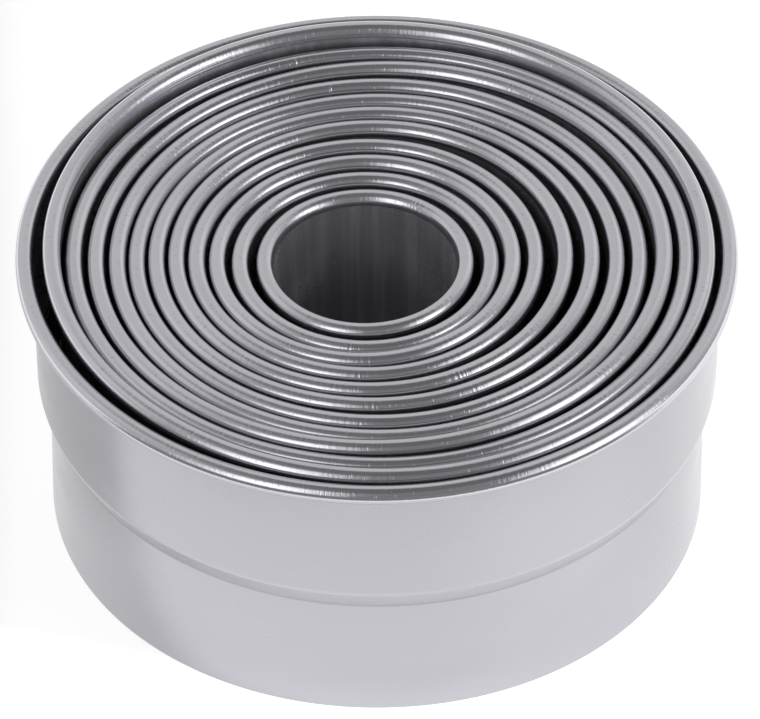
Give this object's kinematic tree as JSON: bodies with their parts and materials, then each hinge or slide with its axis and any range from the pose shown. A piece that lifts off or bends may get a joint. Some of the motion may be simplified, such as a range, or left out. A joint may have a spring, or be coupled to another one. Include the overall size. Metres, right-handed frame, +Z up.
{
  "type": "biscuit cutter",
  "caption": "Nested set of round, plain-edged metal cutters for dough and pastry; each is a thin stepped ring with a rolled rim, standing one inside another.",
  "frame": {"origin": "centre of the largest cutter's cutting edge, on the surface that the set stands on", "axes": "+Z up along the largest cutter's axis; -Y is the side seen in the picture, +X to its right"},
  "size_m": [0.116, 0.116, 0.0546],
  "materials": {
    "stainless_steel": "bright, thin stainless sheet: polished rims, satin walls with a faint grain"
  },
  "bodies": {
    "body_106mm": {"cutter_106mm": "stainless_steel"},
    "body_98mm": {"cutter_98mm": "stainless_steel"},
    "body_91mm": {"cutter_91mm": "stainless_steel"},
    "body_84mm": {"cutter_84mm": "stainless_steel"},
    "body_76mm": {"cutter_76mm": "stainless_steel"},
    "body_70mm": {"cutter_70mm": "stainless_steel"},
    "body_62mm": {"cutter_62mm": "stainless_steel"},
    "body_55mm": {"cutter_55mm": "stainless_steel"},
    "body_47mm": {"cutter_47mm": "stainless_steel"},
    "body_40mm": {"cutter_40mm": "stainless_steel"},
    "body_33mm": {"cutter_33mm": "stainless_steel"},
    "body_25mm": {"cutter_25mm": "stainless_steel"}
  },
  "joints": [
    {"name": "lift_98mm", "type": "slide", "parent": "body_106mm", "child": "body_98mm", "axis": [0, 0, 1], "range_m": [0, 0.06]},
    {"name": "lift_91mm", "type": "slide", "parent": "body_98mm", "child": "body_91mm", "axis": [0, 0, 1], "range_m": [0, 0.06]},
    {"name": "lift_84mm", "type": "slide", "parent": "body_91mm", "child": "body_84mm", "axis": [0, 0, 1], "range_m": [0, 0.06]},
    {"name": "lift_76mm", "type": "slide", "parent": "body_84mm", "child": "body_76mm", "axis": [0, 0, 1], "range_m": [0, 0.06]},
    {"name": "lift_70mm", "type": "slide", "parent": "body_76mm", "child": "body_70mm", "axis": [0, 0, 1], "range_m": [0, 0.06]},
    {"name": "lift_62mm", "type": "slide", "parent": "body_70mm", "child": "body_62mm", "axis": [0, 0, 1], "range_m": [0, 0.06]},
    {"name": "lift_55mm", "type": "slide", "parent": "body_62mm", "child": "body_55mm", "axis": [0, 0, 1], "range_m": [0, 0.06]},
    {"name": "lift_47mm", "type": "slide", "parent": "body_55mm", "child": "body_47mm", "axis": [0, 0, 1], "range_m": [0, 0.06]},
    {"name": "lift_40mm", "type": "slide", "parent": "body_47mm", "child": "body_40mm", "axis": [0, 0, 1], "range_m": [0, 0.06]},
    {"name": "lift_33mm", "type": "slide", "parent": "body_40mm", "child": "body_33mm", "axis": [0, 0, 1], "range_m": [0, 0.06]},
    {"name": "lift_25mm", "type": "slide", "parent": "body_33mm", "child": "body_25mm", "axis": [0, 0, 1], "range_m": [0, 0.06]}
  ]
}
